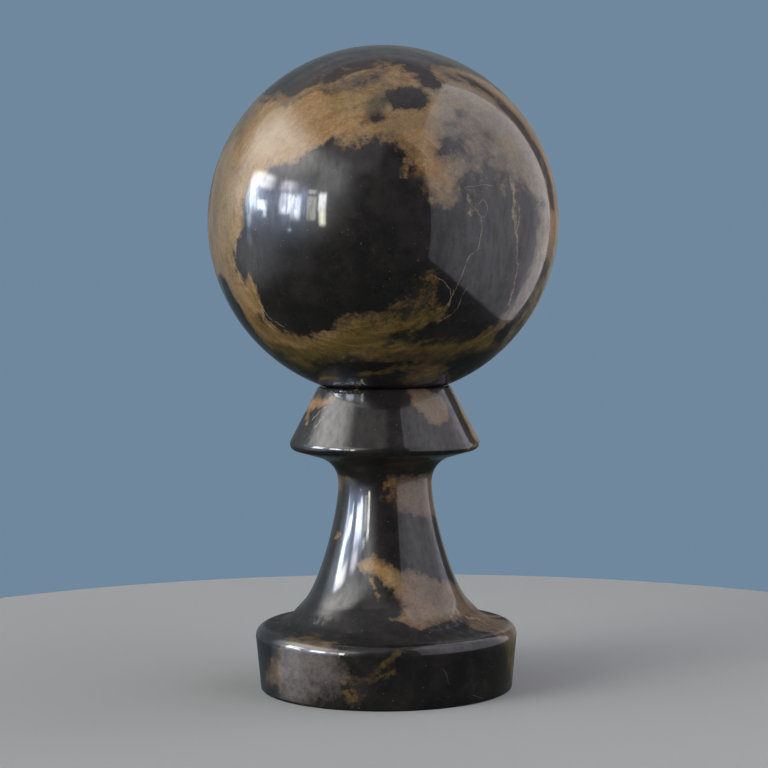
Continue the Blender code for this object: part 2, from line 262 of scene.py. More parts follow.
STAND_TINTS = {
    "ash": (
        (0.95, 4, -50, 28, -54, 14, -50, 2, -18, 2, -15, 14, -18, 28),
        (0.55, 4, -72, 14, -60, 18, -52, 20, -54, 2, -66, 2),
        (0.3, 2, -20, 2, -20, 12, -13, 18, 6, 30, 10, 20, -6, 2),
        (0.35, 6, 8, 76, 60, 70, 98, 66, 98, 42, 8, 42),
        (0.45, 3, 16, 90, 98, 86, 98, 110, 16, 110),
        (0.45, 4, 52, 44, 56, 23, 98, 23, 98, 46, 56, 46),
        (0.4, 3, 20, 163, 24, 146, 58, 146, 58, 163),
    ),
    "veil": (
        (0.28, 5, -66, 10, -50, 28, -18, 28, -9, 8, -20, 0, -60, 0),
        (0.5, 5, -60, 13, -18, 13, -14, 0, -62, 0),
        (0.45, 2, -15, 9, -12, 18, 6, 30, 10, 20, -6, 9),
        (0.25, 3, -50, 28.5, -46, 38, -36, 36, -26, 28.5),
        (0.15, 5, 14, 76, 60, 70, 98, 66, 98, 42, 14, 42),
        (0.28, 2, -8, 95, 10, 93, 10, 110, -8, 110),
        (0.3, 2, 8, 95, 17, 93, 17, 110, 8, 110),
        (0.35, 4, 52, 44, 56, 20, 98, 0, 98, 46, 56, 46),
        (0.45, 3, -98, 96, -98, 110, -50, 110, -50, 96),
    ),
    "olive_and_shade": (
        (0.8, 2, -20, 2, -20, 12, -13, 18, 6, 30, 10, 20, -6, 2),
        (0.8, 3, -48, 26, -46, 38, -36, 36, -26, 26),
        (0.45, 3, -80, 2, -80, 22, -60, 22, -56, 12, -60, 2),
        (0.85, 4, 58, 21, 98, 21, 98, -2, 70, -2),
    ),
    "smoke": (
        (0.3, 2, -20, 2, -20, 12, -13, 18, 6, 30, 10, 20, -6, 2),
        (0.7, 3, 62, 62, 78, 62, 80, 50, 65, 48.5),
        (0.4, 3, -66, 7, -32, 7, -32, -2, -66, -2),
        (0.45, 3, -50, 28.5, -46, 38, -36, 36, -26, 28.5),
        (0.46, 6, 10, 76, 60, 70, 98, 66, 98, 42, 10, 42),
        (0.5, 3, 14, 90, 98, 86, 98, 110, 14, 110),
        (0.55, 2, -8, 95, 15, 93, 15, 110, -8, 110),
        (0.6, 4, 66, 62, 98, 62, 98, 110, 66, 110),
        (0.5, 3, -98, 96, -98, 110, -50, 110, -50, 96),
        (0.35, 3, 16, 163, 16, 156, 44, 156, 44, 163),
    ),
    "rust": (
        (0.9, 2, -8, 95, 15, 93, 15, 110, -8, 110),
        (0.6, 3, 66, 44, 98, 44, 98, 110, 66, 110),
    ),
    "specks": (
        (0.1, 2, -98, 163, -98, 140, -40, 140, -40, 163),
        (0.8, 1, -20, 3, -20, 13, -8, 13, -8, 3),
        (0.6, 2, -8, 95, 16, 93, 16, 110, -8, 110),
    ),
}
STAND_RUST = (
    (12, 45, 14, 4, 0, 0.7), (-15, 71, 12, 5, 0, 0.3), (-60, 155, 20, 8, 0, 0.6), (24, 158, 8, 5, 0, 0.5),
    (-23, 162, 6, 2, 0, 1), (-62, 82, 8, 4, 0, 0.7), (66, 134, 16, 4, 0, 0.9),
)
STAND_VEINS = (
    (0.07, 25, 16.5, 26, 14, 27.5, 11),
    (0.07, 40, 5.5, 43, 4, 47, 2),
    (1, 46, 46.5, 51, 48.5, 56, 50.5, 60, 52),
    (0.55, 60, 44.5, 66, 43, 73, 41.5),
    (0.4, 62, 28.6, 72, 28.2, 84, 27.4),
    (0.45, -53, 143.5, -51, 146, -48.5, 148.5),
    (0.3, -60, 147, -56, 150, -50, 153),
)
STAND_CHIPS = (
    (-64, -14, 159.6, 164, 0.26), (-180, 180, 161.2, 163.4, 0.1), (-86, -52, 133.5, 153, 0.11),
    (-84, -64, 131, 137, 0.1),
)

# --- Lights ---
# Panels face the ball: (name, degrees round, degrees up, width and height in degrees, radiance,
# colour, share of each side that fades out). They show in reflections; the lamps among them
# light the surface instead.

LAMPS = ("key", "high_fill")
PANELS = (
    ("pane_left", -94.2, 13, 15, 20, 33, (0.82, 0.91, 1), 0.5),
    ("pane_left_bar", -85.3, 8.4, 13, 6.6, 31, (0.84, 0.91, 1), 0.4),
    ("pane_left_drop", -81, 5.2, 4.5, 6.5, 16, (0.8, 0.88, 1), 0.35),
    ("pane_left_streak", -95, 2.5, 7, 13, 10, (0.74, 0.86, 1), 0.5),
    ("pane_left_smear", -96, -6, 7, 9, 2.5, (0.62, 0.78, 1), 0.5),
    ("blind_left", -88, 19.7, 27, 9.8, 17, (0.98, 0.97, 1), 0.36),
    ("blind_middle", -64.8, 18.8, 18.5, 9.4, 12.5, (0.96, 0.92, 1), 0.42),
    ("pane_middle", -65, 9.8, 12.1, 13.4, 25, (0.86, 0.89, 1), 0.24),
    ("pane_middle_long", -57.6, 8.2, 8.8, 17.5, 25, (0.84, 0.91, 1), 0.3),
    ("pane_dim", -46.3, 7.6, 7.3, 16, 6.2, (1, 0.99, 0.85), 0.16),
    ("pane_dim_top", -47, 17, 7.5, 3.4, 9, (1, 0.97, 0.88), 0.3),
    ("pane_near", -39.2, 11.2, 6.6, 13.5, 20, (0.97, 0.98, 1), 0.24),
    ("pane_near_low", -38.8, 1.8, 6, 11.4, 23, (1, 0.99, 0.78), 0.28),
    ("spot", -61.9, -4.2, 5.5, 3.4, 7.5, (0.65, 0.8, 1), 0.4),
    ("gap_glow", -52.3, 12, 8, 20, 4.5, (0.5, 0.7, 1), 0.4),
    ("halo_left", -89, 10, 33, 34, 6.4, (0.46, 0.64, 1), 0.5),
    ("halo_middle", -63, 9, 36, 32, 5, (0.42, 0.6, 1), 0.5),
    ("halo_back", -108, 13, 34, 30, 1.5, (0.72, 0.84, 1), 0.5),
    ("window_haze", -66, 4, 74, 42, 1.1, (0.58, 0.68, 1), 0.4),
    ("curtain_high", -54, 35, 34, 20, 1.7, (0.98, 0.99, 0.97), 0.45),
    ("curtain_low", -34, 26, 28, 32, 1.5, (0.98, 0.99, 0.97), 0.45),
    ("curtain", -42, 23, 60, 50, 1.25, (0.97, 0.98, 1), 0.5),
    ("far_wall", -22, 44, 40, 34, 0.45, (1, 0.95, 0.93), 0.2),
    ("low_haze", -94, -15, 62, 34, 1.2, (0.93, 0.93, 1), 0.5),
    ("ceiling_glow", -88, 36.5, 76, 39, 4.7, (1, 0.98, 0.95), 0.42),
    ("key", -58, 12, 40, 40, 10, (1, 0.98, 0.94), 0.2),
    ("high_fill", -70, 55, 60, 40, 1, (1, 0.99, 0.97), 0.3),
)

# --- Helpers: seeded noise, distances, curves ---


def lattice_noise(points, cell, seed):
    """Smooth noise from -1 to 1: random numbers on a cubic lattice of this cell size, blended
    between the eight corners round each point with a fifth-power ease."""
    side = 32
    table = np.random.RandomState(seed).rand(side, side, side)
    place = points / cell + 1000.0
    whole = np.floor(place).astype(np.int64)
    part = place - whole
    ease = part**3 * (part * (part * 6 - 15) + 10)
    total = np.zeros(len(points))
    for corner in range(8):
        step = np.array([corner & 1, corner >> 1 & 1, corner >> 2 & 1])
        at = (whole + step) % side
        weight = np.where(step == 1, ease, 1 - ease).prod(axis=1)
        total += weight * table[at[:, 0], at[:, 1], at[:, 2]]
    return total * 2 - 1


def cloud_noise(points, cell, seed, octaves=4):
    """Layers of lattice noise, each with half the cell and half the height of the last."""
    return sum(lattice_noise(points, cell / 2**octave, seed + octave) / 2**octave
               for octave in range(octaves))


def smooth_step(low, high, value):
    """0 at low, 1 at high, and the cubic 3t^2 - 2t^3 between."""
    t = np.clip((value - low) / (high - low), 0, 1)
    return t * t * (3 - 2 * t)


def stretch_distance(x, y, a, b):
    """Distance from each point to the straight stretch from a to b."""
    dx, dy = b - a
    t = np.clip(((x - a[0]) * dx + (y - a[1]) * dy) / (dx * dx + dy * dy + 1e-12), 0, 1)
    return np.hypot(x - a[0] - t * dx, y - a[1] - t * dy)


def outline_distance(x, y, corners):
    """Distance from each point to a closed outline, positive inside it. A point is inside when
    a ray from it to the right crosses the outline an odd number of times."""
    nearest = np.full(len(x), 1e9)
    inside = np.zeros(len(x), bool)
    for a, b in zip(corners, np.roll(corners, -1, axis=0)):
        nearest = np.minimum(nearest, stretch_distance(x, y, a, b))
        if a[1] != b[1]:
            dx, dy = b - a
            inside ^= ((a[1] > y) != (b[1] > y)) & (x < a[0] + (y - a[1]) * dx / dy)
    return np.where(inside, nearest, -nearest)


def line_distance(x, y, points):
    """Distance from each point to an open line, signed by the side of the nearest stretch."""
    nearest = np.full(len(x), 1e9)
    side = np.ones(len(x))
    for a, b in zip(points[:-1], points[1:]):
        away = stretch_distance(x, y, a, b)
        dx, dy = b - a
        turn = np.where(dx * (y - a[1]) - dy * (x - a[0]) >= 0, 1.0, -1.0)
        side = np.where(away < nearest, turn, side)
        nearest = np.minimum(away, nearest)
    return nearest * side


def soft_blot(x, y, cx, cy, half_width, half_height, tilt, amount):
    """A soft spot: its amount times e to the minus squared distance, measured in its own half
    width and half height, tilted in degrees."""
    c, s = cos(radians(tilt)), sin(radians(tilt))
    u = ((x - cx) * c + (y - cy) * s) / half_width
    v = (-(x - cx) * s + (y - cy) * c) / half_height
    return amount * np.exp(-(u * u + v * v))


def arc(centre, radius, start, end, steps):
    """Points (r, z) on a circle from the start angle to the end angle, both included."""
    angle = np.linspace(start, end, steps + 1)
    return centre + radius * np.stack([np.cos(angle), np.sin(angle)], 1)


def fillet(before, corner, after, radius, steps):
    """The arc of this radius that touches both straight lines at a corner. Its centre lies on
    the line that halves the corner's angle."""
    before, corner, after = (np.array(p, float) for p in (before, corner, after))
    u = (before - corner) / np.linalg.norm(before - corner)
    v = (after - corner) / np.linalg.norm(after - corner)
    half = acos(float(u @ v)) / 2
    middle = (u + v) / np.linalg.norm(u + v)
    centre = corner + middle * radius / sin(half)
    first = corner + u * radius / tan(half) - centre
    last = corner + v * radius / tan(half) - centre
    start = np.arctan2(first[1], first[0])
    turn = (np.arctan2(last[1], last[0]) - start + pi) % (2 * pi) - pi
    return arc(centre, radius, start, start + turn, steps)


def bezier(a, b, c, d, steps):
    """Points of the cubic curve from a to d with handles b and c, without a itself."""
    t = np.linspace(0, 1, steps + 1)[1:, None]
    a, b, c, d = (np.array(p, float) for p in (a, b, c, d))
    return (1 - t) ** 3 * a + 3 * t * (1 - t) ** 2 * b + 3 * t * t * (1 - t) * c + t**3 * d


# --- Settings ---


def length(name, description, default):
    return FloatProperty(name=name, description=description, default=default, min=0.0,
                         unit="LENGTH", subtype="DISTANCE", precision=4)


def mm(name, description, default):
    return length(name, description, default * MM)


def angle(name, description, degrees):
    return FloatProperty(name=name, description=description, default=radians(degrees),
                         unit="ROTATION", subtype="ANGLE")


def count(name, description, default):
    return IntProperty(name=name, description=description, default=default)


def colour(name, description, *default):
    return FloatVectorProperty(name=name, description=description, default=default, size=3,
                               min=0.0, max=1.0, subtype="COLOR")


class BallSettings(PropertyGroup):
    """Size and mesh of the ball."""

    radius: length("Radius", "Radius of the ball", (BALL_HIGH.x - BALL_LOW.x) / 2)
    centre: length("Centre height", "Height of the ball's centre",
                   (BALL_HIGH.z + BALL_LOW.z) / 2)
    waviness: mm("Waviness", "Height of the slow waves left by hand polishing", 0.008)
    columns: count("Columns", "Columns round the ball", 480)
    rings: count("Rings", "Rings from pole to pole", 204)


class StandSettings(PropertyGroup):
    """Sizes of the stand's outline, from the foot up."""

    foot_radius: mm("Foot radius", "Base radius at the floor", 54.3)
    arris: mm("Foot arris", "Small rounding at the floor", 0.5)
    flare: angle("Base flare", "Outward lean of the base's side", 5.2)
    shoulder_height: mm("Shoulder height", "Height of the base's side", 27.0)
    shoulder_fillet: mm("Shoulder fillet", "Rounding of the shoulder", 4.8)
    top_slope: angle("Base top slope", "Rise of the base's top towards the stem", 8.0)
    stem_radius: mm("Stem foot radius", "Radius where the stem leaves the base", 35.5)
    stem_height: mm("Stem foot height", "Height where the stem leaves the base", 37.5)
    stem_slope: angle("Stem foot slope", "Slope of the stem at its foot", 47.5)
    stem_fillet: mm("Stem foot fillet", "Rounding between base and stem", 11.0)
    stem_pull: mm("Stem foot pull", "Length of the stem's lower handle", 10.7)
    neck_radius: mm("Neck radius", "Thinnest radius of the stem", 20.2)
    neck_height: mm("Neck height", "Height of the thinnest place", 88.7)
    neck_pull_down: mm("Neck pull down", "Handle below the neck", 12.5)
    neck_pull_up: mm("Neck pull up", "Handle above the neck", 7.1)
    under_radius: mm("Undercut radius", "Radius where the undercut straightens", 29.3)
    under_height: mm("Undercut height", "Height of that place", 100.3)
    under_slope: angle("Undercut slope", "Slope of the collar's underside", 16.0)
    under_pull: mm("Undercut pull", "Handle before the undercut", 4.5)
    rim_radius: mm("Rim radius", "Widest radius of the collar", 41.66)
    rim_height: mm("Rim height", "Height of the collar's rim", 105.0)
    rim_fillet: mm("Rim fillet", "Rounding of the rim", 2.9)
    lean: angle("Collar lean", "Inward lean of the collar's side", 27.5)
    top_fillet: mm("Top fillet", "Softened top edge", 1.6)
    mouth_radius: mm("Dish mouth", "Radius of the dish's mouth", 27.4)
    gap: mm("Dish gap", "Clearance between ball and dish", 0.3)
    columns: count("Columns", "Columns round the stand", 390)
    rings: count("Rings", "Rings along the outline", 236)


class StoneSettings(PropertyGroup):
    """Colours of the stone."""

    black: colour("Black", "Ground colour of the stone", 0.0090, 0.0086, 0.0088)
    haze: colour("Haze", "Faint brown haze in the black", 0.0205, 0.0180, 0.0172)
    ochre: colour("Ochre", "Middle colour of the clouds", 0.215, 0.124, 0.045)
    tan: colour("Tan", "Pale colour of the clouds", 0.300, 0.200, 0.098)
    rust: colour("Rust", "Orange tint in the clouds", 0.25, 0.135, 0.045)
    smoke: colour("Smoke", "Brown shade in the clouds", 0.080, 0.060, 0.042)
    ash: colour("Ash", "Grey tint in the clouds", 0.200, 0.168, 0.115)
    slate: colour("Slate", "Grey tint in the stand's clouds", 0.098, 0.092, 0.096)
    # Olive of the stone, made darker as painted shade for the little light that reaches the lower part of
    # the ball from below
    olive_and_shade: colour("Olive_And_Shade", "Olive tint low on the ball", 0.104, 0.072, 0.017)
    vein: colour("Vein", "Thin lines in the black", 0.30, 0.235, 0.135)


class StageSettings(PropertyGroup):
    """Floor, backdrop and camera."""

    floor_radius: length("Floor radius", "Radius of the round floor", 0.33)
    floor: colour("Floor", "Pale floor", 0.36, 0.37, 0.36)
    backdrop: colour("Backdrop", "What the camera sees behind the floor", 0.160, 0.246, 0.340)
    lens: FloatProperty(name="Lens", description="Focal length in millimetres", default=102.04)
    distance: length("Distance", "Camera's distance in front of the axis", 0.9354)
    height: length("Height", "Camera's height above the floor", 0.188)
    pitch: angle("Pitch", "Camera's downward tilt", 3.479)
    roll: angle("Roll", "Camera's roll", 0.43)


# --- Turned surfaces ---


def stand_outline(s):
    """The stand's outline (r, z) from the foot to the dish's mouth, without its ends on the
    axis: straight lines joined by fillets, and two cubic curves that meet at the neck."""
    side = (s.foot_radius + s.shoulder_height * tan(s.flare), s.shoulder_height)
    top_rise, stem_rise = tan(s.top_slope), tan(s.stem_slope)
    top_in = (s.stem_radius, side[1] + (side[0] - s.stem_radius) * top_rise)
    climb = s.stem_height - s.shoulder_height
    corner_r = (climb + s.stem_radius * stem_rise - side[0] * top_rise) / (stem_rise - top_rise)
    corner = (corner_r, side[1] + (side[0] - corner_r) * top_rise)
    stem_foot = (s.stem_radius, s.stem_height)
    neck = (s.neck_radius, s.neck_height)
    under = (s.under_radius, s.under_height)
    slope, lean = tan(s.under_slope), tan(s.lean)
    cone_r = s.rim_radius + (s.rim_height - s.under_height) * lean
    rim_z = s.under_height + (cone_r - s.under_radius) * slope / (1 + slope * lean)
    rim = (s.rim_radius - (rim_z - s.rim_height) * lean, rim_z)
    top = (s.rim_radius - (STAND_TOP - s.rim_height) * lean, STAND_TOP)
    foot = (s.foot_radius, 0.0)
    stem_handle = (stem_foot[0] - s.stem_pull * cos(s.stem_slope),
                   stem_foot[1] + s.stem_pull * sin(s.stem_slope))
    under_handle = (under[0] - s.under_pull * cos(s.under_slope),
                    under[1] - s.under_pull * sin(s.under_slope))
    return np.concatenate([
        fillet((0.0, 0.0), foot, side, s.arris, 6),
        fillet(foot, side, top_in, s.shoulder_fillet, 24),
        fillet(side, corner, stem_foot, s.stem_fillet, 16),
        bezier(stem_foot, stem_handle, (neck[0], neck[1] - s.neck_pull_down), neck, 80),
        bezier(neck, (neck[0], neck[1] + s.neck_pull_up), under_handle, under, 40),
        fillet(under, rim, top, s.rim_fillet, 20),
        fillet(rim, top, (0.0, STAND_TOP), s.top_fillet, 14),
        [(s.mouth_radius, STAND_TOP)],
    ])


def along(outline):
    """Length along an outline up to each of its points."""
    return np.concatenate([[0.0], np.cumsum(np.hypot(*np.diff(outline, axis=0).T))])


def respaced(outline, points, crowding):
    """The outline with this many points. Their spacing is the inverse of a density of 1 plus
    the given bumps (place, reach, extra), each a bell curve along the outline."""
    place = along(outline)
    fine = np.linspace(0, place[-1], 4000)
    density = np.ones(len(fine))
    for where, reach, extra in crowding:
        density += extra * np.exp(-(((fine - where) / reach) ** 2))
    filled = np.concatenate([[0], np.cumsum((density[1:] + density[:-1]) / 2)])
    at = np.interp(np.linspace(0, filled[-1], points), filled, fine)
    return np.stack([np.interp(at, place, outline[:, 0]), np.interp(at, place, outline[:, 1])], 1)


def turned_points(outline, columns):
    """Point at ring i and column j: the outline's (r, z) turned to j parts of a full turn that
    starts behind the piece. The outline's two ends on the axis become single points, last."""
    turn = np.arange(columns) * 2 * pi / columns - pi
    r, z = outline[1:-1, :1], outline[1:-1, 1:]
    grid = np.stack([r * np.sin(turn), -r * np.cos(turn), z + 0 * turn], -1).reshape(-1, 3)
    return np.concatenate([grid, [(0, 0, outline[0, 1]), (0, 0, outline[-1, 1])]])


def turned_mesh(name, points, columns):
    """Four-cornered faces between neighbouring rings and columns, and three-cornered ones at
    the two ends, all facing outwards for an outline listed from bottom to top."""
    first, last = len(points) - 2, len(points) - 1
    here = np.arange(columns)
    there = (here + 1) % columns
    low = np.arange(0, first - columns, columns)[:, None]
    high = low + columns
    quads = np.stack([low + here, low + there, high + there, high + here], -1).reshape(-1)
    bottom = np.stack([there, here, np.full(columns, first)], 1).reshape(-1)
    top = np.stack([first - columns + here, first - columns + there, np.full(columns, last)], 1)
    corners = np.concatenate([quads, bottom, top.reshape(-1)]).astype(np.int32)
    sizes = np.concatenate([np.full(len(quads) // 4, 4), np.full(2 * columns, 3)])
    starts = np.concatenate([[0], np.cumsum(sizes)[:-1]]).astype(np.int32)
    mesh = bpy.data.meshes.new(name)
    mesh.vertices.add(len(points))
    mesh.vertices.foreach_set("co", points.astype(np.float32).reshape(-1))
    mesh.loops.add(len(corners))
    mesh.loops.foreach_set("vertex_index", corners)
    mesh.polygons.add(len(sizes))
    mesh.polygons.foreach_set("loop_start", starts)
    mesh.polygons.foreach_set("use_smooth", np.ones(len(sizes), bool))
    mesh.update(calc_edges=True)
    mesh.validate()
    return mesh


def put_in_scene(name, mesh):
    """A new object for the mesh, in place of any old one of this name."""
    old = bpy.data.objects.get(name)
    if old:
        bpy.data.objects.remove(old)
    piece = bpy.data.objects.new(name, mesh)
    bpy.context.scene.collection.objects.link(piece)
    return piece


def write_fields(mesh, fields):
    """Stores each array as a point attribute: numbers as FLOAT, triples as FLOAT_VECTOR."""
    for name, values in fields.items():
        kind, key = ("FLOAT", "value") if values.ndim == 1 else ("FLOAT_VECTOR", "vector")
        attribute = mesh.attributes.new(name, kind, "POINT")
        attribute.data.foreach_set(key, values.astype(np.float32).reshape(-1))


# --- Clouds on the surface ---


def pairs(numbers):
    """x, y, x, y and so on as rows of two."""
    return np.array(numbers, float).reshape(-1, 2)


def paint(patches, place):
    """Signed cloud distance in mm and edge softness. Each added patch raises the distance to
    its own where that is larger; each cut lowers it to minus its own where that is smaller.
    place() gives the mesh's points and a patch's corners on one flat sheet in mm."""
    field, softness = -FARTHEST, EDGE
    for kind, edge, *corners in patches:
        distance = outline_distance(*place(pairs(corners)))
        if kind == "cut":
            distance = -distance
        wins = distance > field if kind == "add" else distance < field
        field = np.where(wins, distance, field)
        softness = np.where(wins, edge, softness)
    return np.clip(field, -FARTHEST, FARTHEST), softness


def tints(patches, blots, place, x, y):
    """The fields that tint the clouds or thin them. Each patch gives its amount inside its
    corners, faded over its blur; the largest holds, and the blots of rust are added on top."""
    fields = {name: np.zeros(len(x)) for name in TINTS}
    for name, rows in patches.items():
        for amount, blur, *corners in rows:
            share = smooth_step(-blur, blur, outline_distance(*place(pairs(corners))))
            fields[name] = np.maximum(fields[name], amount * share)
    for blot in blots:
        fields["rust"] += soft_blot(x, y, *blot)
    return {name: np.clip(values, 0, 1) for name, values in fields.items()}


def draw_veins(veins, place):
    """Signed distance to the nearest vein as a share of its width, and how near it is: e to the
    minus squared distance over the veins' reach."""
    nearest = share = 99.0  # mm, farther than any vein reaches
    for width, *points in veins:
        distance = line_distance(*place(pairs(points)))
        closer = np.abs(distance) < np.abs(nearest)
        nearest = np.where(closer, distance, nearest)
        share = np.where(closer, distance / width, share)
    return np.clip(share, -40, 40), np.exp(-((nearest / VEIN_REACH) ** 2))


def on_sphere(places):
    """Unit vectors of (degrees round, degrees up)."""
    a, b = np.radians(places[:, 0]), np.radians(places[:, 1])
    return np.stack([np.cos(b) * np.sin(a), -np.cos(b) * np.cos(a), np.sin(b)], 1)


def flat_view(unit):
    """Degrees right and up of the front on a flat sheet, and the angle from the front, which is
    laid off in the direction of each point."""
    away = np.degrees(np.arccos(np.clip(-unit[:, 1], -1, 1)))
    side = np.hypot(unit[:, 0], unit[:, 2]) + 1e-9
    return away * unit[:, 0] / side, away * unit[:, 2] / side, away


def back_fields(points, size, seed, belt):
    """The fields where nothing is painted, from layered noise on the points in mm: clouds of
    this size, raised by the belt, with veil, smoke and rust of their own."""
    back = {"cloud": np.clip(13 * cloud_noise(points, size, seed, 5) + belt, -FARTHEST, FARTHEST),
            "softness": 1.1}
    for name, amount, low, high, finer, step in (
        ("veil", 0.45, -0.5, 0.8, 0.7, 7), ("smoke", 0.65, -0.3, 0.9, 0.6, 16),
        ("rust", 0.6, 0.0, 1.0, 0.5, 22),
    ):
        noise = cloud_noise(points, size * finer, seed + step)
        back[name] = amount * smooth_step(low, high, noise)
    return back


def joined(front, back, behind):
    """Front fields that turn into the back ones as behind goes from 0 to 1. Ragged tints soften
    the clouds' edges, and the veins fade out."""
    ragged = front.pop("ragged")
    front["softness"] = np.maximum(front["softness"], RAGGED_EDGE * ragged)
    near_vein = front.pop("near_vein") * (1 - behind)
    vein = front.pop("vein")
    mixed = {name: values * (1 - behind) + back.get(name, 0.0) * behind
             for name, values in front.items()}
    return {**mixed, "vein": vein, "near_vein": near_vein}


def painted(patches, tint_patches, blots, veins, place, x, y):
    """All that is painted on a piece, by the name of the field."""
    cloud, softness = paint(patches, place)
    vein, near_vein = draw_veins(veins, place)
    return {"cloud": cloud, "softness": softness, "vein": vein, "near_vein": near_vein,
            **tints(tint_patches, blots, place, x, y)}


def ball_fields(unit, radius):
    """The ball's clouds, tints, streaks and veins at each point, with the radius in mm. Painted
    places hold in front, layered noise behind. The polish is worn low on the right and in a spot
    on the left."""
    points = unit * radius
    x, y, away = flat_view(unit)
    up = np.degrees(np.arcsin(np.clip(unit[:, 2], -1, 1)))
    per_degree = radians(1) * radius
    sheet_x = x * per_degree + 0.7 * cloud_noise(points, cell=9, seed=11)
    sheet_y = y * per_degree + 0.7 * cloud_noise(points, cell=9, seed=23)

    def place(corners):
        cx, cy, _ = flat_view(on_sphere(corners))
        return sheet_x, sheet_y, np.stack([cx, cy], 1) * per_degree

    bx, by, _ = flat_view(on_sphere(np.array(BALL_RUST)[:, :2]))
    blots = [(bx[i], by[i], *blot[2:]) for i, blot in enumerate(BALL_RUST)]
    front = painted(BALL_PATCHES, BALL_TINTS, blots, BALL_VEINS, place, x, y)
    # Behind, the clouds lie in a belt: fewer towards the top and towards the foot
    belt = 5.5 - 11 * smooth_step(28, 62, up) - 7 * smooth_step(-12, -50, up)
    low = smooth_step(-16, -30, up)
    # Behind, the lower band takes the darkened olive too: olive stone and painted shade from below
    back = {**back_fields(points, size=44, seed=31, belt=belt), "olive_and_shade": 0.8 * low}
    hub = on_sphere(np.array([[-8.0, 5.0]]))[0]
    across = np.arccos(np.clip(unit @ hub, -1, 1)) * radius
    return {
        **joined(front, back, smooth_step(*BALL_BEHIND, away)),
        "flow": np.stack([across, 0.22 * points[:, 0], 0.22 * points[:, 2]], 1),
        "streaks": 0.20 + np.maximum(0.40 * low, 0.28 * smooth_step(-38, -54, x)),
        "worn": np.maximum(0.8 * smooth_step(-47, -57, up) * smooth_step(-6, 14, x),
                           0.4 * smooth_step(26, 10, np.hypot(x + 40, y + 3))),
    }


def stand_fields(points, turn, run, outline, chipped):
    """The stand's clouds, tints, streaks and veins, from its points in mm, the degrees round it
    and the mm along its outline. The sheet is the stand unrolled, its width taken at the radius
    where each patch lies; behind, under the foot and in the dish, layered noise takes over. The
    polish is worn where the surface is chipped, on top of the base and on the collar's left."""
    length_along = along(outline)
    sheet_x = 0.5 * cloud_noise(points, cell=7, seed=61)
    sheet_y = run + 0.5 * cloud_noise(points, cell=7, seed=67)

    def place(corners):
        girth = np.interp(corners[:, 1].mean(), length_along, outline[:, 0])
        per_degree = radians(1) * girth
        return sheet_x + turn * per_degree, sheet_y, corners * (per_degree, 1.0)

    front = painted(STAND_PATCHES, STAND_TINTS, STAND_RUST, STAND_VEINS, place, turn, run)
    behind = smooth_step(*STAND_BEHIND, np.abs(turn)) + smooth_step(0, -2, run)
    behind = np.clip(behind + smooth_step(163, 165, run), 0, 1)
    base_top = 2 * smooth_step(28.5, 31, run) * smooth_step(49, 43, run)
    collar = smooth_step(130, 134, run) * smooth_step(164, 150, run)
    return {
        **joined(front, back_fields(points, size=36, seed=71, belt=-3.5), behind),
        "flow": np.stack([run * 0.2, points[:, 0], points[:, 1]], 1),
        "streaks": 0.1 + 0 * run,
        "worn": np.max([chipped, base_top, 0.9 * smooth_step(-48, -64, turn) * collar], axis=0),
    }


def chip_depth(points, turn, run):
    """How far in mm the surface is worn back: in each worn place, noise past a threshold, faded
    out at the place's borders."""
    depth = np.zeros(len(run))
    ragged = cloud_noise(points, cell=1.5, seed=101, octaves=2)
    for r0, r1, s0, s1, deep in STAND_CHIPS:
        inside = smooth_step(s0, s0 + 0.8, run) * smooth_step(s1, s1 - 0.6, run)
        if r1 - r0 < ALL_ROUND:
            inside = inside * smooth_step(r0, r0 + 4, turn) * smooth_step(r1, r1 - 4, turn)
        depth = np.maximum(depth, deep * inside * smooth_step(0.05, 0.75, ragged))
    return depth


# --- Shader node helpers ---


def feed(socket, value):
    """Links a socket to the input, or writes a plain value on it."""
    if isinstance(value, bpy.types.NodeSocket):
        socket.id_data.links.new(value, socket)
    else:
        socket.default_value = value


def new_node(tree, kind, inputs=(), **settings):
    """A node with its settings, and each input (name or number) given a value or a link."""
    node = tree.nodes.new("ShaderNode" + kind)
    for key, value in settings.items():
        setattr(node, key, value)
    for key, value in dict(inputs).items():
        feed(node.inputs[key], value)
    return node


def calc(operation, *values, clamp=False):
    """A Math node in the tree of the first value that is a socket."""
    tree = next(v.id_data for v in values if isinstance(v, bpy.types.NodeSocket))
    return new_node(tree, "Math", enumerate(values), operation=operation,
                    use_clamp=clamp).outputs[0]


def times(*values, clamp=False):
    return calc("MULTIPLY", *values, clamp=clamp)


def scaled(value, factor, start, clamp=False):
    """The value times the factor, plus the start."""
    return calc("MULTIPLY_ADD", value, factor, start, clamp=clamp)


def less(value, taken):
    return calc("SUBTRACT", value, taken)


def size_of(value):
    return calc("ABSOLUTE", value)


def grain(vector, scale, detail, rough, warp=0.0):
    return new_node(vector.id_data, "TexNoise", {
        "Vector": vector, "Scale": scale, "Detail": detail, "Roughness": rough,
        "Distortion": warp}).outputs[0]


def swing(*grain_values):
    """Grain about 0."""
    return less(grain(*grain_values), 0.5)


def ease(value, low, high, start=0.0, end=1.0):
    """From start to end, smoothly, as the value goes from low to high."""
    return new_node(value.id_data, "MapRange", {
        "Value": value, "From Min": low, "From Max": high, "To Min": start, "To Max": end,
    }, interpolation_type="SMOOTHSTEP").outputs[0]


def blend(share, first, second):
    return new_node(share.id_data, "Mix", {0: share, 6: first, 7: second},
                    data_type="RGBA").outputs[2]


def stretched(vector, *scales):
    return new_node(vector.id_data, "VectorMath", {0: vector, 1: scales},
                    operation="MULTIPLY").outputs[0]


def new_group(name, inputs, outputs):
    """An empty node group with the named sockets: the group, its input sockets, its output."""
    group = bpy.data.node_groups.new(name, "ShaderNodeTree")
    for way, sockets in (("INPUT", inputs), ("OUTPUT", outputs)):
        for label in sockets:
            group.interface.new_socket(name=label, in_out=way,
                                       socket_type="NodeSocket" + KINDS.get(label, "Float"))
    entry = group.nodes.new("NodeGroupInput")
    return group, entry.outputs, group.nodes.new("NodeGroupOutput").inputs


# --- Stone ---


